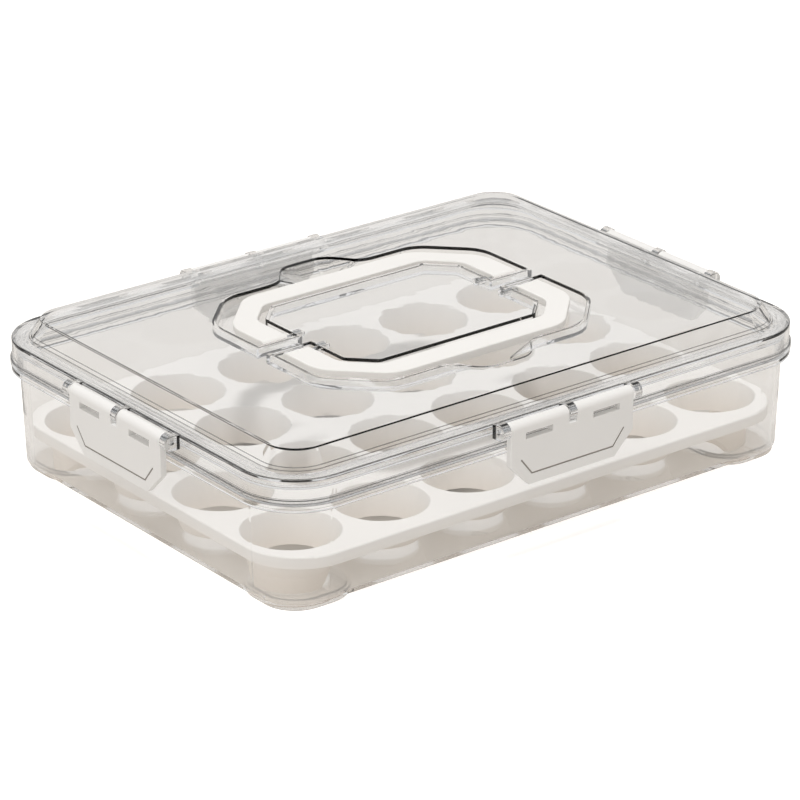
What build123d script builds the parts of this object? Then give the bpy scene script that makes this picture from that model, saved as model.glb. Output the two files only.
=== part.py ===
"""Clear 24-cup storage box: tub, lift-out cup tray, latched lid with two fold-flat carrying handles.

Millimetres, +Z up, +X along the long side, origin on the ground under the middle of the box.
"""
from build123d import *
from math import sqrt
import os

# Cups: their pattern sets how long and wide the box is
CUP_COLUMNS = 6
CUP_ROWS = 4
CUP_TOP_RADIUS = 22.3
CUP_WEB_X = 5.4
CUP_WEB_Y = 7.9
CUP_BOTTOM_RADIUS = 17.4
CUP_DEPTH = 15.8
CUP_WALL = 1.4
CUP_RIM_ROUND = 0.7

# Tub
END_MARGIN = 5.8
SIDE_MARGIN = 11.45
TUB_BOTTOM_CORNER = 24.7
TUB_FLOOR_UNDER = 3.7
TUB_WALL = 1.8
TUB_DRAFT = 0.0342
TUB_BOTTOM_ROUND = 0.8
RIM_UNDER = 50.5
RIM_THICKNESS = 3.4
RIM_OVERHANG = 0.5
RIM_ROUND = 0.6
LIP_HEIGHT = 7.2

# Feet, each a hollow pad pressed out of the tub's floor round a corner cup's leg
FOOT_ROOM = 2.7
FOOT_SHIFT_X = 3.5
FOOT_SHIFT_Y = 9.25
FOOT_CORNER = 17.0
FOOT_FLOOR = 2.2
FOOT_ROUND = 1.0

# Cup tray
TRAY_STAND = 23.3
TRAY_PLATE = 1.6
TRAY_SKIRT = 5.9
TRAY_SKIRT_WALL = 1.6
TRAY_GAP = 0.64
TRAY_CORNER = 28.0
TRAY_EDGE_ROUND = 1.0
CUP_LEDGE = 0.5
LEG_TOP_INSET = 0.1
LEG_FOOT_INSET = 3.8

# Lid
LID_WALL = 1.9
LID_LIP_GAP = 1.137
LID_REST_GAP = 0.3
LID_BEAD_STEP = 0.95
LID_BEAD_HEIGHT = 2.3
SEAL_SPACE = 3.6
SHOULDER_ROUND = 0.5
SHOULDER_WIDTH = 7.9
DECK_LEAN = 6.1
DECK_HEIGHT = 8.5
DECK_PLATE = 2.0
DECK_ROUND = 0.6
SEAL_RIB_GAP = 1.06
SEAL_RIB_WALL = 1.5
SEAL_RIB_DEPTH = 3.1

# Seal
SEAL_GAP = 0.05
SEAL_SIDE_GAP = 0.1

# Handle wells in the lid
WELL_DEPTH = 5.4
WELL_SKIN = 1.8
WELL_HALF_X = 81.0
WELL_HALF_Y = 64.5
WELL_CHAMFER = 24.0
WELL_ROUND = 18.0
WELL_EDGE_ROUND = 0.35
WELL_UNDER_ROUND = 0.9
WEB_HALF = 5.5
CHANNEL_WIDTH = 22.0
CHANNEL_END_WIDTH = 22.5
ISLAND_CHAMFER = 12.0
ISLAND_ROUND = 3.0
SCOOP_MOUTH_HALF = 25.5
SCOOP_END_HALF = 13.0
SCOOP_DEPTH = 16.0
SCOOP_LEAN = 10.0
SCOOP_ROUND = 14.0
SCOOP_JOIN_ROUND = 4.5
SCOOP_OVERLAP = 3.0

# Handles
HANDLE_GAP = 4.8
HANDLE_INNER_GAP = 3.8
HANDLE_UNDER_GAP = 0.4
HANDLE_TOP_GAP = 0.1
HANDLE_END_GAP = 1.7
HANDLE_CHAMFER = 26.0
HANDLE_OUTER_ROUND = 18.0
HANDLE_INNER_ROUND = 10.0
HANDLE_EDGE_ROUND = 0.6
HANDLE_UNDER_ROUND = 1.6
HANDLE_PART_STEP = 0.4
HANDLE_PIN_RADIUS = 1.25
HANDLE_PIN_CLEARANCE = 0.08
HANDLE_PIN_GRIP = 9.0
HANDLE_PIN_END_GAP = 0.6
BOSS_RADIUS = 2.4
BOSS_LENGTH = 6.1
BOSS_END_WALL = 1.0

# Latches
HINGE_REACH = 4.3
HINGE_DROP = 2.7
LUG_RADIUS = 4.0
LUG_WIDTH = 4.2
LUG_MIDDLE_HALF = 2.0
LUG_SIDE_GAP = 0.4
LUG_ROOT = 0.9
LUG_TURN_GAP = 0.6
BARREL_RADIUS = 3.4
LATCH_HALF = 36.4
LATCH_PIN_RADIUS = 1.25
LATCH_PIN_SHORT = 0.6
LATCH_PIN_CLEARANCE = 0.08
PRESS_CLEARANCE = 0.01
PLATE_THICKNESS = 3.6
PLATE_DROP = 28.4
PLATE_CHAMFER = 11.0
PLATE_EDGE_ROUND = 0.6
SLOT_CENTRE = 19.9
SLOT_LENGTH = 16.0
SLOT_HEIGHT = 3.3
SLOT_DROP = 2.2
GROOVE_WIDTH = 0.8
GROOVE_DEPTH = 0.45
GROOVE_FOOT_HALF = 24.1
GROOVE_TOP_HALF = 30.5
GROOVE_FOOT_RISE = 5.5
GROOVE_TOP_RISE = 13.5
RIDGE_RIM_GAP = 0.35
RIDGE_UNDER_GAP = 0.4
RIDGE_HEIGHT = 2.8
RIDGE_TIP_HEIGHT = 0.8
RIDGE_HALF = 24.0

# Cutting blocks run this far past the faces they cut, and joined ones sink this far in
CUT_PAST = 1.0
SINK = 0.5

# Heights that pieces share
TUB_FLOOR_TOP = TUB_FLOOR_UNDER + TUB_WALL
RIM_TOP = RIM_UNDER + RIM_THICKNESS
TUB_LIP_TOP = RIM_TOP + LIP_HEIGHT
LID_BOTTOM = RIM_TOP + LID_REST_GAP
LID_BEAD_TOP = LID_BOTTOM + LID_BEAD_HEIGHT
SHOULDER_TOP = TUB_LIP_TOP + SEAL_SPACE + LID_WALL
SEAL_RIB_UNDER = SHOULDER_TOP - LID_WALL - SEAL_RIB_DEPTH
DECK_TOP = SHOULDER_TOP + DECK_HEIGHT
WELL_FLOOR = DECK_TOP - WELL_DEPTH
HANDLE_UNDER = WELL_FLOOR + HANDLE_UNDER_GAP
HANDLE_TOP = DECK_TOP - HANDLE_TOP_GAP
HANDLE_PIVOT_Z = (HANDLE_UNDER + HANDLE_TOP) / 2
HANDLE_END_ROUND = (HANDLE_TOP - HANDLE_UNDER) / 2
HINGE_Z = SHOULDER_TOP - HINGE_DROP
PLATE_BOTTOM = HINGE_Z - PLATE_DROP
SLOT_TOP = HINGE_Z - SLOT_DROP
SLOT_BOTTOM = SLOT_TOP - SLOT_HEIGHT
RIDGE_TOP = RIM_UNDER - RIDGE_UNDER_GAP
RIDGE_BOTTOM = RIDGE_TOP - RIDGE_HEIGHT
TRAY_TOP = FOOT_FLOOR + TRAY_STAND

# Plan of the box: every clear outline is a rounded rectangle about the same four corner centres,
# so one number, its half length, sets it
CUP_PITCH_X = 2 * CUP_TOP_RADIUS + CUP_WEB_X
CUP_PITCH_Y = 2 * CUP_TOP_RADIUS + CUP_WEB_Y
LAST_CUP_X = CUP_PITCH_X * (CUP_COLUMNS - 1) / 2
LAST_CUP_Y = CUP_PITCH_Y * (CUP_ROWS - 1) / 2
TUB_BOTTOM_HALF = LAST_CUP_X + CUP_TOP_RADIUS + END_MARGIN
LENGTH_LESS_WIDTH = TUB_BOTTOM_HALF - (LAST_CUP_Y + CUP_TOP_RADIUS + SIDE_MARGIN)
CORNER_CENTRE_X = TUB_BOTTOM_HALF - TUB_BOTTOM_CORNER
LIP_HALF = TUB_BOTTOM_HALF + TUB_DRAFT * (TUB_LIP_TOP - TUB_FLOOR_UNDER)
LID_HALF = LIP_HALF + LID_LIP_GAP + LID_WALL
RIM_HALF = LID_HALF + RIM_OVERHANG
LID_BEAD_HALF = LID_HALF + LID_BEAD_STEP
DECK_FOOT_HALF = LID_HALF - SHOULDER_WIDTH
DECK_TOP_HALF = DECK_FOOT_HALF - DECK_LEAN
SEAL_RIB_HALF = LIP_HALF - TUB_WALL - SEAL_RIB_GAP
SEAL_OUTER_HALF = LID_HALF - LID_WALL - SEAL_SIDE_GAP
SEAL_INNER_HALF = SEAL_RIB_HALF + SEAL_SIDE_GAP
TRAY_HALF_X = TUB_BOTTOM_HALF + TUB_DRAFT * (TRAY_TOP - TRAY_SKIRT - TUB_FLOOR_UNDER) - TUB_WALL - TRAY_GAP
TRAY_HALF_Y = TRAY_HALF_X - LENGTH_LESS_WIDTH

# Plan of the feet, wells, handles and latches
CUP_SKIN_RADIUS = CUP_BOTTOM_RADIUS + CUP_WALL
FOOT_SIZE = 2 * (CUP_SKIN_RADIUS + FOOT_ROOM)
FOOT_CENTRE_X = LAST_CUP_X + FOOT_SHIFT_X
FOOT_CENTRE_Y = LAST_CUP_Y + FOOT_SHIFT_Y
LEG_TOP_HALF_WIDTH = CUP_SKIN_RADIUS - LEG_TOP_INSET
LEG_FOOT_HALF_WIDTH = CUP_SKIN_RADIUS - LEG_FOOT_INSET
ISLAND_HALF_X = WELL_HALF_X - CHANNEL_END_WIDTH
ISLAND_HALF_Y = WELL_HALF_Y - CHANNEL_WIDTH
SCOOP_REACH = WELL_HALF_Y + SCOOP_DEPTH
SCOOP_RUN = SCOOP_LEAN / WELL_DEPTH
HANDLE_END_Y = WEB_HALF + HANDLE_END_GAP
HANDLE_PIVOT_Y = HANDLE_END_Y + HANDLE_END_ROUND
BOSS_START = ISLAND_HALF_X - BOSS_LENGTH
HANDLE_PIN_START = BOSS_START + BOSS_END_WALL
HANDLE_PIN_END = ISLAND_HALF_X + HANDLE_INNER_GAP + HANDLE_PIN_GRIP
HANDLE_BORE_END = HANDLE_PIN_END + HANDLE_PIN_END_GAP
BARREL_START = LUG_MIDDLE_HALF + LUG_SIDE_GAP
LUG_OUTER_START = LATCH_HALF + LUG_SIDE_GAP
LUG_OUTER_END = LUG_OUTER_START + LUG_WIDTH
LATCH_PIN_HALF = LUG_OUTER_END - LATCH_PIN_SHORT


def box_between(x0, x1, y0, y1, z0, z1):
    """Plain block between two corners."""
    centre = Pos((x0 + x1) / 2, (y0 + y1) / 2, (z0 + z1) / 2)
    return centre * Box(x1 - x0, y1 - y0, z1 - z0)


def outline(half, z):
    """Face of the box's plan at one height, from its half length."""
    width = 2 * (half - LENGTH_LESS_WIDTH)
    plan = RectangleRounded(2 * half, width, half - CORNER_CENTRE_X)
    return Pos(0, 0, z) * plan


def block(half, z0, z1):
    """Upright block with the box's plan."""
    return extrude(outline(half, z0), z1 - z0)


def leaning_block(half0, z0, half1, z1):
    """Block whose plan changes evenly from one height to the other."""
    return loft([outline(half0, z0), outline(half1, z1)], ruled=True)


def tub_half(z):
    """Half length of the tub's outer wall at a height."""
    return TUB_BOTTOM_HALF + TUB_DRAFT * (z - TUB_FLOOR_UNDER)


def edges_at(solid, z):
    """Level edges of a solid at one height."""
    found = [edge for edge in solid.edges() if abs(edge.bounding_box().min.Z - z) < 0.001]
    return [edge for edge in found if abs(edge.bounding_box().max.Z - z) < 0.001]


def chamfered_polygon(half_x, y0, y1, chamfer):
    """Corner points of a rectangle whose two far corners are cut off at 45 degrees."""
    return [(-half_x, y0), (half_x, y0), (half_x, y1 - chamfer), (half_x - chamfer, y1),
            (-half_x + chamfer, y1), (-half_x, y1 - chamfer)]


def prism(points, z0, z1, rounding, low_y):
    """Upright block from corner points, its upright edges rounded beyond a line in Y."""
    solid = extrude(Pos(0, 0, z0) * make_face(Polyline(*points, close=True)), z1 - z0)
    upright = solid.edges().filter_by(Axis.Z)
    return fillet([edge for edge in upright if edge.center().Y > low_y], rounding)


# Tub: tapered wall, flat floor, rim that the lid's edge sits over and an inner lip inside the lid
tub = leaning_block(TUB_BOTTOM_HALF, TUB_FLOOR_UNDER, tub_half(TUB_LIP_TOP), TUB_LIP_TOP)
tub = fillet(edges_at(tub, TUB_FLOOR_UNDER), TUB_BOTTOM_ROUND)
rim = block(RIM_HALF, RIM_UNDER, RIM_TOP)
rim = fillet(edges_at(rim, RIM_UNDER), RIM_ROUND)
tub = tub + rim
foot_pad = extrude(RectangleRounded(FOOT_SIZE, FOOT_SIZE, FOOT_CORNER), TUB_FLOOR_TOP - SINK)
foot_pad = fillet(edges_at(foot_pad, 0), FOOT_ROUND)
foot_hollow_size = FOOT_SIZE - 2 * TUB_WALL
foot_hollow_plan = RectangleRounded(foot_hollow_size, foot_hollow_size, FOOT_CORNER - TUB_WALL)
foot_hollow = extrude(Pos(0, 0, FOOT_FLOOR) * foot_hollow_plan, TUB_FLOOR_TOP - FOOT_FLOOR + CUT_PAST)
for side_x in (-1, 1):
    for side_y in (-1, 1):
        tub = tub + Pos(side_x * FOOT_CENTRE_X, side_y * FOOT_CENTRE_Y, 0) * foot_pad
tub = tub - leaning_block(tub_half(TUB_FLOOR_TOP) - TUB_WALL, TUB_FLOOR_TOP,
                          tub_half(TUB_LIP_TOP + CUT_PAST) - TUB_WALL, TUB_LIP_TOP + CUT_PAST)
for side_x in (-1, 1):
    for side_y in (-1, 1):
        tub = tub - Pos(side_x * FOOT_CENTRE_X, side_y * FOOT_CENTRE_Y, 0) * foot_hollow

# Cup tray: plate with a short skirt, tapered open cups, and a half round leg under each corner cup
tray_outer = extrude(Pos(0, 0, TRAY_TOP - TRAY_SKIRT)
                     * RectangleRounded(2 * TRAY_HALF_X, 2 * TRAY_HALF_Y, TRAY_CORNER), TRAY_SKIRT)
tray_outer = fillet(edges_at(tray_outer, TRAY_TOP), TRAY_EDGE_ROUND)
tray_inner_plan = RectangleRounded(2 * (TRAY_HALF_X - TRAY_SKIRT_WALL),
                                   2 * (TRAY_HALF_Y - TRAY_SKIRT_WALL), TRAY_CORNER - TRAY_SKIRT_WALL)
tray = tray_outer - extrude(Pos(0, 0, TRAY_TOP - TRAY_SKIRT) * tray_inner_plan, TRAY_SKIRT - TRAY_PLATE)
cup_bottom = TRAY_TOP - CUP_DEPTH
cup_height = CUP_DEPTH - CUP_LEDGE
cup_outer = Pos(0, 0, cup_bottom + cup_height / 2) * Cone(
    CUP_SKIN_RADIUS, CUP_TOP_RADIUS + CUP_WALL, cup_height)
cup_inner = Pos(0, 0, cup_bottom + CUP_DEPTH / 2) * Cone(CUP_BOTTOM_RADIUS, CUP_TOP_RADIUS, CUP_DEPTH)
cup_places = [
    (CUP_PITCH_X * column - LAST_CUP_X, CUP_PITCH_Y * row - LAST_CUP_Y)
    for column in range(CUP_COLUMNS)
    for row in range(CUP_ROWS)
]
tray = tray + [Pos(x, y, 0) * cup_outer for x, y in cup_places]
leg_top = cup_bottom + CUT_PAST
leg_ring = extrude(Pos(0, 0, FOOT_FLOOR) * Circle(CUP_SKIN_RADIUS), leg_top - FOOT_FLOOR)
leg_plan = Plane.XZ * make_face(Polyline(
    (-LEG_FOOT_HALF_WIDTH, FOOT_FLOOR), (LEG_FOOT_HALF_WIDTH, FOOT_FLOOR),
    (LEG_TOP_HALF_WIDTH, leg_top), (-LEG_TOP_HALF_WIDTH, leg_top), close=True))
leg = leg_ring & extrude(leg_plan, -2 * CUP_SKIN_RADIUS)
for side_x, side_y, turn in ((1, 1, -45), (-1, 1, 45), (-1, -1, 135), (1, -1, -135)):
    tray = tray + Pos(side_x * LAST_CUP_X, side_y * LAST_CUP_Y, 0) * Rot(0, 0, turn) * leg
leg_bore = extrude(Pos(0, 0, FOOT_FLOOR - CUT_PAST) * Circle(CUP_BOTTOM_RADIUS),
                   cup_bottom - FOOT_FLOOR + CUT_PAST + 0.01)
tray = tray - [Pos(x, y, 0) * cup_inner for x, y in cup_places]
tray = tray - [Pos(side_x * LAST_CUP_X, side_y * LAST_CUP_Y, 0) * leg_bore
               for side_x in (-1, 1) for side_y in (-1, 1)]
round_edges = [edge for edge in edges_at(tray, TRAY_TOP) if edge.geom_type == GeomType.CIRCLE]
cup_rims = [edge for edge in round_edges if abs(edge.radius - CUP_TOP_RADIUS) < 0.01]
tray = fillet(cup_rims, CUP_RIM_ROUND)


def well_cut(z0, z1, grow, rounding):
    """C-shaped space of the back handle's well, with its walls moved out by grow."""
    cut_corner = 2 - sqrt(2)
    outer = prism(
        chamfered_polygon(WELL_HALF_X + grow, WEB_HALF - grow, WELL_HALF_Y + grow,
                          WELL_CHAMFER + cut_corner * grow),
        z0, z1, rounding, WEB_HALF + 1)
    island = prism(
        chamfered_polygon(ISLAND_HALF_X - grow, -1, ISLAND_HALF_Y - grow,
                          ISLAND_CHAMFER - cut_corner * grow),
        z0, z1, ISLAND_ROUND, 1)
    return outer - island


def scoop_outline(z, grow):
    """Face of the back finger scoop at one height, with its leaning walls moved out by grow."""
    slope = (SCOOP_MOUTH_HALF - SCOOP_END_HALF) / SCOOP_DEPTH
    side = sqrt(1 + slope ** 2)
    offset = grow * sqrt(1 + SCOOP_RUN ** 2) - SCOOP_RUN * (DECK_TOP - z)
    mouth = SCOOP_MOUTH_HALF + side * offset
    end = SCOOP_END_HALF + (side - slope) * offset
    low = WELL_HALF_Y - SCOOP_OVERLAP
    reach = SCOOP_REACH + offset
    face = make_face(Polyline((-mouth, low), (mouth, low), (mouth, WELL_HALF_Y), (end, reach),
                              (-end, reach), (-mouth, WELL_HALF_Y), close=True))
    far_corners = [corner for corner in face.vertices() if abs(corner.Y - reach) < 0.001]
    return Pos(0, 0, z) * fillet(far_corners, SCOOP_ROUND + offset)


def pocket(z0, z1, grow):
    """Space of the back well with its finger scoop, with its walls moved out by grow."""
    scoop = loft([scoop_outline(z0, grow), scoop_outline(z1, grow)], ruled=True)
    space = well_cut(z0, z1, grow, WELL_ROUND + grow) + scoop
    joins = [edge for edge in space.edges() if abs(edge.center().Y - WELL_HALF_Y - grow) < 0.001
             and abs(edge.center().X) < SCOOP_MOUTH_HALF + grow
             and edge.bounding_box().size.Z > WELL_DEPTH / 2]
    return fillet(joins, SCOOP_JOIN_ROUND - grow)


# Lid: flange with a bead, shoulder, sloped wall and deck, all one skin
lid_outer = block(LID_HALF, LID_BOTTOM, SHOULDER_TOP)
lid_outer = fillet(edges_at(lid_outer, SHOULDER_TOP), SHOULDER_ROUND)
lid_outer = lid_outer + block(LID_BEAD_HALF, LID_BOTTOM, LID_BEAD_TOP)
deck = leaning_block(DECK_FOOT_HALF, SHOULDER_TOP - SINK, DECK_TOP_HALF, DECK_TOP)
deck = fillet(edges_at(deck, DECK_TOP), DECK_ROUND)
lid = lid_outer + deck
lid = lid - block(LID_HALF - LID_WALL, LID_BOTTOM - CUT_PAST, SHOULDER_TOP - LID_WALL)
lid = lid - leaning_block(DECK_FOOT_HALF - LID_WALL, SHOULDER_TOP - LID_WALL - SINK,
                          DECK_TOP_HALF - LID_WALL, DECK_TOP - DECK_PLATE)
seal_rib = block(SEAL_RIB_HALF, SEAL_RIB_UNDER, SHOULDER_TOP - LID_WALL + SINK)
seal_rib = seal_rib - block(SEAL_RIB_HALF - SEAL_RIB_WALL, SEAL_RIB_UNDER - CUT_PAST, SHOULDER_TOP)
lid = lid + seal_rib

# Handle wells and finger scoops, pressed down from the deck
pocket_skin = pocket(WELL_FLOOR - WELL_SKIN, DECK_TOP - SINK, WELL_SKIN)
pocket_skin = fillet(edges_at(pocket_skin, WELL_FLOOR - WELL_SKIN), WELL_UNDER_ROUND)
pocket_space = pocket(WELL_FLOOR, DECK_TOP + CUT_PAST, 0)
boss = Pos((BOSS_START + ISLAND_HALF_X) / 2, HANDLE_PIVOT_Y, HANDLE_PIVOT_Z) * Rot(0, 90, 0) * Cylinder(
    BOSS_RADIUS, ISLAND_HALF_X - BOSS_START)
boss_bore = Pos(0, HANDLE_PIVOT_Y, HANDLE_PIVOT_Z) * Rot(0, 90, 0) * Cylinder(
    HANDLE_PIN_RADIUS + PRESS_CLEARANCE, 2 * (ISLAND_HALF_X + CUT_PAST))
boss_bore = boss_bore - box_between(-HANDLE_PIN_START, HANDLE_PIN_START,
                                    0, 2 * HANDLE_PIVOT_Y, 0, 2 * DECK_TOP)
for turn in (0, 180):
    lid = lid + Rot(0, 0, turn) * pocket_skin
for turn in (0, 180):
    lid = lid - Rot(0, 0, turn) * pocket_space
well_edges = [edge for edge in edges_at(lid, DECK_TOP) if abs(edge.center().Y) < SCOOP_REACH + 1
              and abs(edge.center().X) < WELL_HALF_X + 1]
lid = fillet(well_edges, WELL_EDGE_ROUND)
for turn in (0, 180):
    lid = lid + Rot(0, 0, turn) * boss
    lid = lid + Rot(0, 0, turn) * mirror(boss, Plane.YZ)
    lid = lid - Rot(0, 0, turn) * boss_bore


def across(start, end, reach, z, radius):
    """Level round bar beside the front wall, from start to end along the wall."""
    middle = (start + end) / 2
    return Pos(middle, -reach, z) * Rot(0, 90, 0) * Cylinder(radius, end - start)


def lug(start, end, wall):
    """Hinge lug on the front of the lid's flange, at one stretch along it."""
    root = box_between(start, end, -(wall + HINGE_REACH), -(wall - LUG_ROOT),
                       HINGE_Z - LUG_RADIUS, SHOULDER_TOP)
    return root + across(start, end, wall + HINGE_REACH, HINGE_Z, LUG_RADIUS)


def latch_set(wall):
    """Lugs, pin bore, pin and latch of one side, drawn on the front wall."""
    reach = wall + HINGE_REACH
    lugs = lug(-LUG_OUTER_END, -LUG_OUTER_START, wall)
    lugs = lugs + lug(-LUG_MIDDLE_HALF, LUG_MIDDLE_HALF, wall)
    lugs = lugs + lug(LUG_OUTER_START, LUG_OUTER_END, wall)
    bore = across(-LUG_OUTER_END - CUT_PAST, LUG_OUTER_END + CUT_PAST, reach, HINGE_Z,
                  LATCH_PIN_RADIUS + PRESS_CLEARANCE)
    pin = across(-LATCH_PIN_HALF, LATCH_PIN_HALF, reach, HINGE_Z, LATCH_PIN_RADIUS)

    # The plate hangs from two half barrels, one each side of the middle lug
    face = reach + BARREL_RADIUS
    low = PLATE_BOTTOM
    plan = make_face(Polyline(
        (-LATCH_HALF, HINGE_Z), (-LATCH_HALF, low + PLATE_CHAMFER), (-LATCH_HALF + PLATE_CHAMFER, low),
        (LATCH_HALF - PLATE_CHAMFER, low), (LATCH_HALF, low + PLATE_CHAMFER), (LATCH_HALF, HINGE_Z),
        close=True))
    plate = Pos(0, -(face - PLATE_THICKNESS), 0) * extrude(Plane.XZ * plan, PLATE_THICKNESS)
    edges = [edge for edge in plate.edges() if edge.center().Z < HINGE_Z - BARREL_RADIUS
             and abs(edge.bounding_box().size.Y) < 0.001]
    plate = fillet(edges, PLATE_EDGE_ROUND)
    latch = plate + across(-LATCH_HALF, -BARREL_START, reach, HINGE_Z, BARREL_RADIUS)
    latch = latch + across(BARREL_START, LATCH_HALF, reach, HINGE_Z, BARREL_RADIUS)
    latch = latch - box_between(-BARREL_START, BARREL_START, -face - CUT_PAST, -wall,
                                HINGE_Z - LUG_RADIUS - LUG_TURN_GAP, SHOULDER_TOP + LUG_RADIUS)

    # Ridge behind the plate that holds under the tub's rim
    ridge_back = face - PLATE_THICKNESS + SINK
    ridge_tip = wall + RIM_OVERHANG + RIDGE_RIM_GAP
    profile = make_face(Polyline(
        (-ridge_back, RIDGE_TOP), (-ridge_tip, RIDGE_TOP), (-ridge_tip, RIDGE_TOP - RIDGE_TIP_HEIGHT),
        (-ridge_back, RIDGE_BOTTOM), close=True))
    ridge = Pos(-RIDGE_HALF, 0, 0) * extrude(Plane.YZ * profile, 2 * RIDGE_HALF)
    latch = latch + ridge

    # Two slots under the barrels and the engraved line on the face
    for side in (-1, 1):
        centre = side * SLOT_CENTRE
        latch = latch - box_between(centre - SLOT_LENGTH / 2, centre + SLOT_LENGTH / 2,
                                    -face - CUT_PAST, -wall, SLOT_BOTTOM, SLOT_TOP)
    slope = Vector(GROOVE_TOP_HALF - GROOVE_FOOT_HALF, GROOVE_TOP_RISE - GROOVE_FOOT_RISE, 0).normalized()
    half = GROOVE_WIDTH / 2
    mitre = half * (1 - slope.X) / slope.Y
    top_x = GROOVE_TOP_HALF
    top_z = low + GROOVE_TOP_RISE
    foot_z = low + GROOVE_FOOT_RISE
    right = [(GROOVE_FOOT_HALF + mitre, foot_z - half),
             (top_x + half * slope.Y, top_z - half * slope.X),
             (top_x - half * slope.Y, top_z + half * slope.X),
             (GROOVE_FOOT_HALF - mitre, foot_z + half)]
    left = [(-x, z) for x, z in reversed(right)]
    groove = Pos(0, -(face - GROOVE_DEPTH), 0) * extrude(
        Plane.XZ * make_face(Polyline(*right, *left, close=True)), GROOVE_DEPTH + CUT_PAST)
    latch = latch - groove
    latch = latch - across(-LATCH_HALF - CUT_PAST, LATCH_HALF + CUT_PAST, reach, HINGE_Z,
                           LATCH_PIN_RADIUS + LATCH_PIN_CLEARANCE)
    return lugs, bore, pin, latch


end_wall = LID_HALF
side_wall = LID_HALF - LENGTH_LESS_WIDTH
latches = {}
latch_pins = {}
for name, wall, turn in (("front", side_wall, 0), ("right", end_wall, 90),
                         ("back", side_wall, 180), ("left", end_wall, 270)):
    lugs, bore, pin, latch = latch_set(wall)
    lid = lid + Rot(0, 0, turn) * lugs
    lid = lid - Rot(0, 0, turn) * bore
    latches[name] = Rot(0, 0, turn) * latch
    latch_pins[name] = Rot(0, 0, turn) * pin

# Seal: soft ring between the lid's shoulder and the tub's lip
seal_top = SHOULDER_TOP - LID_WALL - SEAL_GAP
seal = block(SEAL_OUTER_HALF, TUB_LIP_TOP + SEAL_GAP, seal_top)
seal = seal - block(SEAL_INNER_HALF, TUB_LIP_TOP, seal_top + CUT_PAST)


def handle_bar(z0, z1, inset):
    """C-shaped bar of the back handle between two heights, its sides moved in by inset."""
    cut_corner = 2 - sqrt(2)
    shrink = HANDLE_GAP + inset
    outer = prism(
        chamfered_polygon(WELL_HALF_X - shrink, HANDLE_END_Y, WELL_HALF_Y - shrink,
                          HANDLE_CHAMFER - cut_corner * inset),
        z0, z1, HANDLE_OUTER_ROUND, HANDLE_END_Y + 1)
    swell = HANDLE_INNER_GAP + inset
    inner = prism(
        chamfered_polygon(ISLAND_HALF_X + swell, 0, ISLAND_HALF_Y + swell,
                          ISLAND_CHAMFER + cut_corner * swell),
        z0 - CUT_PAST, z1 + CUT_PAST, HANDLE_INNER_ROUND, 1)
    return outer - inner


# Handles: the bar's lower half is stepped in at the mould's parting line, and each arm's end is round
upper = handle_bar(HANDLE_PIVOT_Z, HANDLE_TOP, 0)
upper = fillet(edges_at(upper, HANDLE_TOP), HANDLE_EDGE_ROUND)
lower = handle_bar(HANDLE_UNDER, HANDLE_PIVOT_Z, HANDLE_PART_STEP)
lower = fillet(edges_at(lower, HANDLE_UNDER), HANDLE_UNDER_ROUND)
handle = upper + lower
end_block = box_between(-WELL_HALF_X, WELL_HALF_X, 0, HANDLE_PIVOT_Y, 0, 2 * DECK_TOP)
end_round = Pos(0, HANDLE_PIVOT_Y, HANDLE_PIVOT_Z) * Rot(0, 90, 0) * Cylinder(
    HANDLE_END_ROUND, 2 * WELL_HALF_X)
handle = handle - (end_block - end_round)
for side in (-1, 1):
    start = side * (ISLAND_HALF_X - 1)
    bore_length = HANDLE_BORE_END - ISLAND_HALF_X + 1
    handle = handle - Pos(start + side * bore_length / 2, HANDLE_PIVOT_Y, HANDLE_PIVOT_Z) * Rot(0, 90, 0) * (
        Cylinder(HANDLE_PIN_RADIUS + HANDLE_PIN_CLEARANCE, bore_length))
pin_length = HANDLE_PIN_END - HANDLE_PIN_START
handle_pin = Pos(HANDLE_PIN_START + pin_length / 2, HANDLE_PIVOT_Y, HANDLE_PIVOT_Z) * Rot(0, 90, 0) * (
    Cylinder(HANDLE_PIN_RADIUS, pin_length))

nodes = {
    "base_tub": tub,
    "egg_tray": tray,
    "lid": lid,
    "lid_seal": seal,
    "handle_back": handle,
    "handle_front": Rot(0, 0, 180) * handle,
    "handle_pin_back_right": handle_pin,
    "handle_pin_back_left": mirror(handle_pin, Plane.YZ),
    "handle_pin_front_left": Rot(0, 0, 180) * handle_pin,
    "handle_pin_front_right": Rot(0, 0, 180) * mirror(handle_pin, Plane.YZ),
}
for name in latches:
    nodes["latch_" + name] = latches[name]
    nodes["latch_pin_" + name] = latch_pins[name]

os.makedirs("parts", exist_ok=True)
for name, solid in nodes.items():
    export_step(solid, "parts/" + name + ".step")
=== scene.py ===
import bmesh
import bpy
from math import cos, radians, sin
from mathutils import Matrix, Vector

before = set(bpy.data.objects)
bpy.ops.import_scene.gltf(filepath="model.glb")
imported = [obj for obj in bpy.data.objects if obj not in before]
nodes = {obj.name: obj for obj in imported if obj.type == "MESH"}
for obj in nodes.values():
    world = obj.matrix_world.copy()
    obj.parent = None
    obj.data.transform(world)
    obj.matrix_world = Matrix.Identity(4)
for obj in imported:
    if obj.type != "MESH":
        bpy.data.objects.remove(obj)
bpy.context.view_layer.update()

# Base tub
# An open tub, injection moulded from clear plastic about 2 mm thick. Its faces are polished and keep the
# faint unevenness of the mould. It stands on four hollow feet that are pressed out of its floor.
CLEAR_TINT = (0.988, 0.989, 0.99)
CLEAR_ROUGHNESS = (0.0, 0.03)
WAVE_DEPTH = 0.0001
PASSING_LIGHT = (0.992, 0.992, 0.992)
PATTERN_LOW = 0.3
PATTERN_HIGH = 0.7
LINES_LOW = 0.045
LINES_HIGH = 0.075
THIN_LINE = 0.00025
THICK_LINE = 0.0003
RIM_UNDER = 0.0505
RIM_TOP = 0.0539
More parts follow.
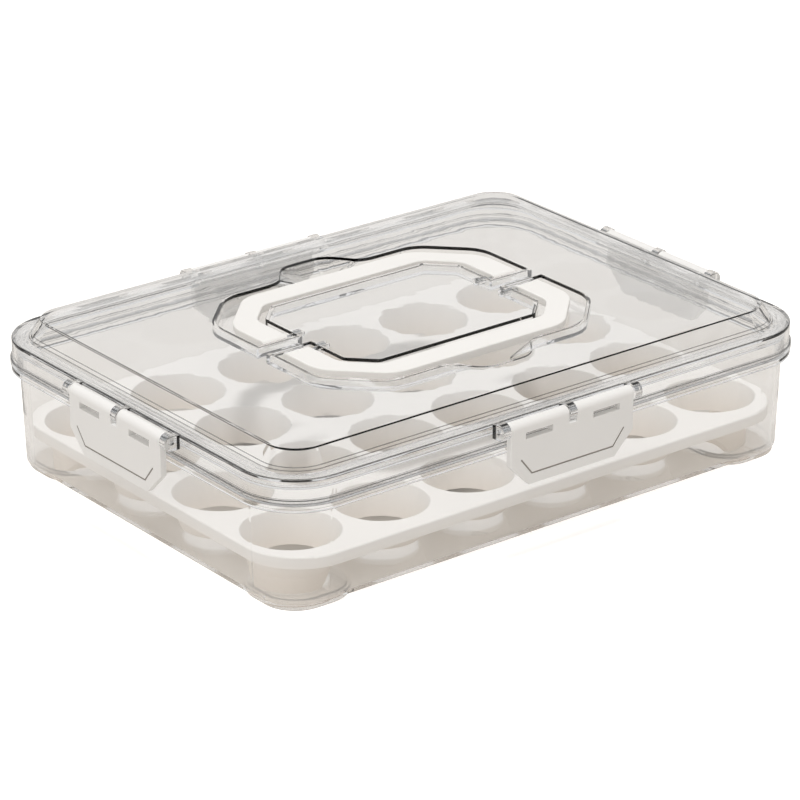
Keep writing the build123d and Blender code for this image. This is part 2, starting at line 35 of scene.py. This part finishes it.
# Painted shade: dark lines in the tub's tint under its rim and along the rim's top.
RIM_PAINTED_SHADE = ((RIM_UNDER, THIN_LINE, 0.4), (RIM_TOP - THICK_LINE, THICK_LINE, 0.2))
LOW_PART_TOP = 0.012
HIGH_PART_START = 0.040
TURNS_LOW_DOWN = 2.5
TURNS_IN_WALL = 7.5


def new_material(name):
    material = bpy.data.materials.new(name)
    material.use_nodes = True
    material.node_tree.nodes.clear()
    return material


def set_values(node, values):
    for socket, value in values.items():
        node.inputs[socket].default_value = value


def axes(tree, place="Object"):
    """X, Y and Z of a point on the piece, or of the way in which a ray looks."""
    source = tree.nodes.new("ShaderNodeTexCoord")
    split = tree.nodes.new("ShaderNodeSeparateXYZ")
    tree.links.new(source.outputs[place], split.inputs["Vector"])
    return split.outputs


def combine(tree, operation, *values):
    """A sum, product or comparison. Each value is a number or comes from another node."""
    node = tree.nodes.new("ShaderNodeMath")
    node.operation = operation
    for socket, value in zip(node.inputs, values):
        if isinstance(value, float):
            socket.default_value = value
        else:
            tree.links.new(value, socket)
    return node.outputs["Value"]


def rise(tree, value, start, end, low=0.0, high=1.0):
    """A number that goes from low to high while the value goes from start to end."""
    node = tree.nodes.new("ShaderNodeMapRange")
    set_values(node, {"From Min": start, "From Max": end, "To Min": low, "To Max": high})
    tree.links.new(value, node.inputs["Value"])
    return node.outputs["Result"]


def moulded_surface():
    """Two patterns that moulded plastic has: a fine grain in its gloss and a slow wave in its face."""
    group = bpy.data.node_groups.new("moulded surface", "ShaderNodeTree")
    for socket, value in (("Grain Scale", 900.0), ("Wave Scale", 40.0)):
        made = group.interface.new_socket(socket, in_out="INPUT", socket_type="NodeSocketFloat")
        made.default_value = value
    for socket in ("Grain", "Wave"):
        group.interface.new_socket(socket, in_out="OUTPUT", socket_type="NodeSocketFloat")
    links = group.links
    given = group.nodes.new("NodeGroupInput")
    result = group.nodes.new("NodeGroupOutput")
    place = group.nodes.new("ShaderNodeTexCoord")
    for scale, output, detail in (("Grain Scale", "Grain", 3.0), ("Wave Scale", "Wave", 1.0)):
        noise = group.nodes.new("ShaderNodeTexNoise")
        set_values(noise, {"Detail": detail, "Roughness": 0.5})
        links.new(place.outputs["Object"], noise.inputs["Vector"])
        links.new(given.outputs[scale], noise.inputs["Scale"])
        links.new(noise.outputs["Fac"], result.inputs[output])
    return group


moulded = moulded_surface()


def moulded_skin(tree, scales):
    """The moulded surface's patterns on one piece, with that piece's own scales."""
    skin = tree.nodes.new("ShaderNodeGroup")
    skin.node_tree = moulded
    set_values(skin, scales)
    return skin.outputs


def raised(tree, pattern, strength, depth):
    """Normals of a face that follows the pattern, which is this deep in metres."""
    bump = tree.nodes.new("ShaderNodeBump")
    set_values(bump, {"Strength": strength, "Distance": depth})
    tree.links.new(pattern, bump.inputs["Height"])
    return bump.outputs["Normal"]


def uneven(tree, grain, low, high):
    """A value that wanders between low and high with the grain."""
    return rise(tree, grain, PATTERN_LOW, PATTERN_HIGH, low, high)


def shade_surface(tree, values, patterns):
    """The piece's shader, with plain values and with patterns that come from other nodes."""
    shader = tree.nodes.new("ShaderNodeBsdfPrincipled")
    set_values(shader, values)
    for socket, pattern in patterns.items():
        tree.links.new(pattern, shader.inputs[socket])
    out = tree.nodes.new("ShaderNodeOutputMaterial")
    tree.links.new(shader.outputs["BSDF"], out.inputs["Surface"])


def let_through(tree, rays, colour):
    """Lets the chosen rays go straight through the surface, in the colour given."""
    surface = tree.nodes["Material Output"].inputs["Surface"]
    passing = tree.nodes.new("ShaderNodeBsdfTransparent")
    passing.inputs["Color"].default_value = (*colour, 1.0)
    mix = tree.nodes.new("ShaderNodeMixShader")
    tree.links.new(rays, mix.inputs["Fac"])
    tree.links.new(surface.links[0].from_socket, mix.inputs[1])
    tree.links.new(passing.outputs["BSDF"], mix.inputs[2])
    tree.links.new(mix.outputs["Shader"], surface)


def painted_shade_lines(tree, height, tint, lines):
    """The plastic's tint, with painted shade: dark level lines (start, width, grey) at the heights where
    edges meet or turn sharply.
    """
    ramp = tree.nodes.new("ShaderNodeValToRGB")
    tree.links.new(rise(tree, height, LINES_LOW, LINES_HIGH), ramp.inputs["Fac"])
    ramp.color_ramp.interpolation = "CONSTANT"
    stops = ramp.color_ramp.elements
    stops[0].color = (*tint, 1.0)
    stops[1].color = (*tint, 1.0)
    for start, width, grey in lines:
        for level, colour in ((start, (grey, grey, grey)), (start + width, tint)):
            stops.new((level - LINES_LOW) / (LINES_HIGH - LINES_LOW)).color = (*colour, 1.0)
    return ramp.outputs["Color"]


def clear_plastic(name, tint, roughness, turns_low_down, lines):
    """Clear plastic with a faintly wavy face, in which light runs to and fro a few times at most, and with
    dark lines of painted shade at given heights.
    """
    material = new_material(name)
    tree = material.node_tree
    height = axes(tree)["Z"]
    skin = moulded_skin(tree, {"Grain Scale": 700.0, "Wave Scale": 60.0})
    shade_surface(tree, {"IOR": 1.5, "Transmission Weight": 1.0}, {
        # Painted shade: the tint darkens in thin lines at the given heights.
        "Base Color": painted_shade_lines(tree, height, tint, lines),
        "Roughness": uneven(tree, skin["Grain"], *roughness),
        "Normal": raised(tree, skin["Wave"], 1.0, WAVE_DEPTH)})
    # Lamps and bounced light pass straight through, so that what is inside is lit. So does light that has
    # run many times to and fro inside the wall, which leaves it somewhere in a real edge. The tub's feet
    # and their tight corners, low down, let it out sooner.
    path = tree.nodes.new("ShaderNodeLightPath").outputs
    turns = rise(tree, height, LOW_PART_TOP, HIGH_PART_START, turns_low_down, TURNS_IN_WALL)
    trapped = combine(tree, "GREATER_THAN", path["Ray Depth"], turns)
    lamp_or_bounce = combine(tree, "MAXIMUM", path["Is Shadow Ray"], path["Is Diffuse Ray"])
    let_through(tree, combine(tree, "MAXIMUM", lamp_or_bounce, trapped), PASSING_LIGHT)
    return material


def dress(node_name, material):
    nodes[node_name].data.materials.clear()
    nodes[node_name].data.materials.append(material)


dress("base_tub", clear_plastic("clear tub plastic", CLEAR_TINT, CLEAR_ROUGHNESS, TURNS_LOW_DOWN, RIM_PAINTED_SHADE))

# Lid
# A raised lid of the same clear plastic, moulded in one piece with its flange, the wells for the handles
# and the lugs for the latches. It rests on the tub's rim and slips over the tub's inner lip.
LID_BOTTOM = 0.0542
BEAD_TOP = 0.0565
DECK_FOOT = 0.06665
# Painted shade: dark lines in the lid's tint at its bottom edge, the bead's top and the deck's foot.
LID_PAINTED_SHADE = ((LID_BOTTOM, THICK_LINE, 0.3), (BEAD_TOP - THIN_LINE, THIN_LINE, 0.25),
             (DECK_FOOT, THICK_LINE, 0.12))
dress("lid", clear_plastic("clear lid plastic", CLEAR_TINT, CLEAR_ROUGHNESS, TURNS_IN_WALL, LID_PAINTED_SHADE))

# Seal
# A soft translucent ring, moulded on its own. It lies under the lid's shoulder, held by a rib there, and
# the tub's lip presses on it.
SEAL_TINT = (0.985, 0.987, 0.988)
SEAL_ROUGHNESS = (0.08, 0.2)
LIP_TOP = 0.0611
# Painted shade: a dark line in the seal's tint at the height of the tub's lip top.
SEAL_PAINTED_SHADE = ((LIP_TOP, 0.0002, 0.5),)
dress("lid_seal", clear_plastic("soft clear seal", SEAL_TINT, SEAL_ROUGHNESS, TURNS_IN_WALL, SEAL_PAINTED_SHADE))

# Egg tray
# A loose tray moulded in one piece from white plastic, with 24 open cups, a short skirt and four legs that
# stand in the tub's feet. Its thin walls let part of a lamp's light through. Low down its colour turns
# darker
# and warmer: painted shade for the warm bounced light there.
TRAY_WHITE = (0.925, 0.91, 0.89)
TRAY_PAINTED_LOW_SHADE = (0.855, 0.80, 0.74)
TRAY_ROUGHNESS = (0.42, 0.55)
TRAY_LIGHT = (0.80, 0.765, 0.72)
TRAY_PLATE = 0.025
TRAY_LEGS = 0.008
GRAIN_DEPTH = 0.00004
MOTTLE = 0.97


def blend(tree, amount, first, second):
    """A mix of two colours by the amount. Each is a colour or comes from another node."""
    node = tree.nodes.new("ShaderNodeMix")
    node.data_type = "RGBA"
    tree.links.new(amount, node.inputs["Factor"])
    for socket, colour in (("A", first), ("B", second)):
        if isinstance(colour, tuple):
            node.inputs[socket].default_value = (*colour, 1.0)
        else:
            tree.links.new(colour, node.inputs[socket])
    return node.outputs["Result"]


def white_plastic(name, colour, roughness):
    """White plastic with a fine grain and slightly darker patches."""
    material = new_material(name)
    tree = material.node_tree
    skin = moulded_skin(tree, {"Grain Scale": 1500.0, "Wave Scale": 60.0})
    darker = tuple(MOTTLE * value for value in colour)
    shade_surface(tree, {"IOR": 1.47}, {
        "Base Color": blend(tree, skin["Wave"], darker, colour),
        "Roughness": uneven(tree, skin["Grain"], *roughness),
        "Normal": raised(tree, skin["Grain"], 0.15, GRAIN_DEPTH)})
    return material


def paint_over(tree, mask, colour):
    """Lays a second colour over the plastic's own where the mask is 1."""
    base = tree.nodes["Principled BSDF"].inputs["Base Color"]
    tree.links.new(blend(tree, mask, base.links[0].from_socket, colour), base)


tray_white = white_plastic("white tray plastic", TRAY_WHITE, TRAY_ROUGHNESS)
tree = tray_white.node_tree
# Painted shade: the colour turns darker and warmer from the plate's height down to the legs.
paint_over(tree, rise(tree, axes(tree)["Z"], TRAY_PLATE, TRAY_LEGS), TRAY_PAINTED_LOW_SHADE)
path = tree.nodes.new("ShaderNodeLightPath").outputs
let_through(tree, path["Is Shadow Ray"], TRAY_LIGHT)
dress("egg_tray", tray_white)

# Handles
# Two C-shaped handles of white moulded plastic with a satin skin. Each lies in its own well in the lid and
# turns on two short pins.
HANDLE_WHITE = (0.92, 0.91, 0.89)
SATIN_ROUGHNESS = (0.38, 0.5)
handle_white = white_plastic("white handle plastic", HANDLE_WHITE, SATIN_ROUGHNESS)
for side in ("back", "front"):
    dress("handle_" + side, handle_white)

# Latches
# Four hanging plates of the same white plastic, each moulded with two half barrels that turn between the
# lid's lugs. A fine line is cut into each plate, and the faces of the cut are darkened with painted shade.
LATCH_WHITE = (0.91, 0.905, 0.895)
LINE_PAINTED_SHADE = (0.42, 0.39, 0.36)
PLATE_BOTTOM = 0.0355
PLATE_HALF = 0.0364
PLATE_CORNER = 0.011
CORNER_LEVEL = PLATE_BOTTOM + PLATE_CORNER - PLATE_HALF
EDGE_MARGIN = 0.0009
CORNER_MARGIN = 0.0008
CUT_MIDDLE = 0.0003
CUT_HALF_DEPTH = 0.00018
CUT_TOP = 0.052


def engraved_line():
    """Mask of the cut line: faces at its depth that lie inside the plate's edges and cut corners."""
    group = bpy.data.node_groups.new("engraved line", "ShaderNodeTree")
    for socket in ("Along", "Out", "Height", "Depth Plane"):
        group.interface.new_socket(socket, in_out="INPUT", socket_type="NodeSocketFloat")
    group.interface.new_socket("Mask", in_out="OUTPUT", socket_type="NodeSocketFloat")
    given = group.nodes.new("NodeGroupInput").outputs
    result = group.nodes.new("NodeGroupOutput")
    along = combine(group, "ABSOLUTE", given["Along"])
    out = combine(group, "ABSOLUTE", given["Out"])
    height = given["Height"]
    off_plane = combine(group, "ABSOLUTE", combine(group, "SUBTRACT", out, given["Depth Plane"]))
    above_corner = combine(group, "SUBTRACT", height, along)
    mask = combine(group, "LESS_THAN", off_plane, CUT_HALF_DEPTH)
    for inside in (combine(group, "GREATER_THAN", above_corner, CORNER_LEVEL + CORNER_MARGIN),
                   combine(group, "LESS_THAN", along, PLATE_HALF - EDGE_MARGIN),
                   combine(group, "GREATER_THAN", height, PLATE_BOTTOM + EDGE_MARGIN),
                   combine(group, "LESS_THAN", height, CUT_TOP)):
        mask = combine(group, "MULTIPLY", mask, inside)
    group.links.new(mask, result.inputs["Mask"])
    return group


engraving = engraved_line()
for along, outward, sides in (("X", "Y", ("front", "back")), ("Y", "X", ("left", "right"))):
    latch_white = white_plastic("white latch plastic " + outward, LATCH_WHITE, SATIN_ROUGHNESS)
    tree = latch_white.node_tree
    place = axes(tree)
    plate = nodes["latch_" + sides[0]]
    plate_face = max(abs(corner["XY".index(outward)]) for corner in plate.bound_box)
    cut = tree.nodes.new("ShaderNodeGroup")
    cut.node_tree = engraving
    set_values(cut, {"Depth Plane": plate_face - CUT_MIDDLE})
    tree.links.new(place[along], cut.inputs["Along"])
    tree.links.new(place[outward], cut.inputs["Out"])
    tree.links.new(place["Z"], cut.inputs["Height"])
    # Painted shade: the cut line's faces take a dark colour.
    paint_over(tree, cut.outputs["Mask"], LINE_PAINTED_SHADE)
    for side in sides:
        dress("latch_" + side, latch_white)

# Hinge pins
# Eight pins of drawn steel wire, cut to length. A long one runs through the lugs and barrels of each latch,
# and a short one holds the end of each handle's arm to the wall beside it.
STEEL = (0.62, 0.63, 0.64, 1.0)
STEEL_ROUGHNESS = (0.2, 0.35)
drawn_steel = new_material("drawn steel pin")
tree = drawn_steel.node_tree
drawn_marks = moulded_skin(tree, {"Grain Scale": 2500.0})["Grain"]
shade_surface(tree, {"Base Color": STEEL, "Metallic": 1.0},
              {"Roughness": uneven(tree, drawn_marks, *STEEL_ROUGHNESS)})
for name in nodes:
    if "_pin_" in name:
        dress(name, drawn_steel)

# Studio
# A pale matt floor on a white ground, under a lamp above and a weaker one to the left. Clear plastic shows
# a light grey room, whose dark horizon, narrow dark band above it and dark ceiling draw its edges.
FLOOR_HALF = 6.0
FLOOR_DROP = 0.0002
FLOOR_COLOUR = (0.76, 0.74, 0.715)
GLOW_TO_CAMERA = 0.58
WHITE_GROUND = (1.0, 1.0, 1.0)
ROOM_LIGHT = (0.52, 0.50, 0.475)
ROOM_AT_HORIZON = 0.02
ROOM_OVERHEAD = 0.03
ROOM_BETWEEN = ((0.08, 0.02), (0.12, 0.74), (0.48, 0.77), (0.50, 0.05), (0.56, 0.05), (0.58, 0.77),
                (0.88, 0.78), (0.91, 0.03))
floor_shape = bmesh.new()
bmesh.ops.create_grid(floor_shape, x_segments=1, y_segments=1, size=FLOOR_HALF,
                      matrix=Matrix.Translation((0, 0, -FLOOR_DROP)))
floor_mesh = bpy.data.meshes.new("floor")
floor_shape.to_mesh(floor_mesh)
floor_shape.free()
floor = bpy.data.objects.new("floor", floor_mesh)
bpy.context.scene.collection.objects.link(floor)

floor_paint = new_material("floor paint")
tree = floor_paint.node_tree
matt = tree.nodes.new("ShaderNodeBsdfDiffuse")
matt.inputs["Color"].default_value = (*FLOOR_COLOUR, 1.0)
glow = tree.nodes.new("ShaderNodeEmission")
path = tree.nodes.new("ShaderNodeLightPath").outputs
tree.links.new(combine(tree, "MULTIPLY", path["Is Camera Ray"], GLOW_TO_CAMERA), glow.inputs["Strength"])
both = tree.nodes.new("ShaderNodeAddShader")
tree.links.new(matt.outputs["BSDF"], both.inputs[0])
tree.links.new(glow.outputs["Emission"], both.inputs[1])
out = tree.nodes.new("ShaderNodeOutputMaterial")
tree.links.new(both.outputs["Shader"], out.inputs["Surface"])
floor_mesh.materials.append(floor_paint)

world = bpy.data.worlds.new("studio")
bpy.context.scene.world = world
world.use_nodes = True
tree = world.node_tree
tree.nodes.clear()
room = tree.nodes.new("ShaderNodeValToRGB")
tree.links.new(axes(tree, "Generated")["Z"], room.inputs["Fac"])
stops = room.color_ramp.elements
stops[0].color = (ROOM_AT_HORIZON, ROOM_AT_HORIZON, ROOM_AT_HORIZON, 1.0)
stops[1].color = (ROOM_OVERHEAD, ROOM_OVERHEAD, ROOM_OVERHEAD, 1.0)
for rise_of_ray, grey in ROOM_BETWEEN:
    stops.new(rise_of_ray).color = (grey, grey, grey, 1.0)
path = tree.nodes.new("ShaderNodeLightPath").outputs
seen_or_lit = blend(tree, path["Is Diffuse Ray"], room.outputs["Color"], ROOM_LIGHT)
background = tree.nodes.new("ShaderNodeBackground")
tree.links.new(blend(tree, path["Is Camera Ray"], seen_or_lit, WHITE_GROUND), background.inputs["Color"])
out = tree.nodes.new("ShaderNodeOutputWorld")
tree.links.new(background.outputs["Background"], out.inputs["Surface"])


def from_origin(azimuth, elevation):
    """A direction: azimuth turns from the front (-Y) towards the right (+X), both in degrees."""
    turn = radians(azimuth)
    lift = radians(elevation)
    return Vector((sin(turn) * cos(lift), -cos(turn) * cos(lift), sin(lift)))


def soft_sun(name, azimuth, elevation, spread_angle, strength):
    """Even light from one side that gives no mirror image of itself."""
    lamp = bpy.data.lights.new(name, "SUN")
    lamp.energy = strength
    lamp.angle = radians(spread_angle)
    holder = bpy.data.objects.new(name, lamp)
    holder.rotation_euler = from_origin(azimuth, elevation).to_track_quat("Z", "Y").to_euler()
    holder.visible_glossy = False
    holder.visible_transmission = False
    bpy.context.scene.collection.objects.link(holder)


soft_sun("top light", azimuth=0, elevation=88, spread_angle=9, strength=1.4)
soft_sun("left light", azimuth=-80, elevation=34, spread_angle=60, strength=0.5)

# Camera
# A long lens, well away from the box, so that its sides run nearly parallel. It looks down at the corner
# between the front and the left side.
VIEW_AZIMUTH = -38.064
VIEW_ELEVATION = 23.024
VIEW_DISTANCE = 1.8546
SENSOR_WIDTH = 36.0
LENS = 174.13
AIM_HEIGHT = 0.0255
AIM_RIGHT = -0.00125
AIM_UP = 0.00272
back = from_origin(VIEW_AZIMUTH, VIEW_ELEVATION)
right = Vector((cos(radians(VIEW_AZIMUTH)), sin(radians(VIEW_AZIMUTH)), 0))
up = back.cross(right)
lens = bpy.data.cameras.new("camera")
lens.sensor_width = SENSOR_WIDTH
lens.lens = LENS
camera = bpy.data.objects.new("camera", lens)
camera.location = Vector((0, 0, AIM_HEIGHT)) + back * VIEW_DISTANCE + right * AIM_RIGHT + up * AIM_UP
camera.rotation_euler = back.to_track_quat("Z", "Y").to_euler()
bpy.context.scene.collection.objects.link(camera)
bpy.context.scene.camera = camera
bpy.context.scene.view_settings.view_transform = "Standard"
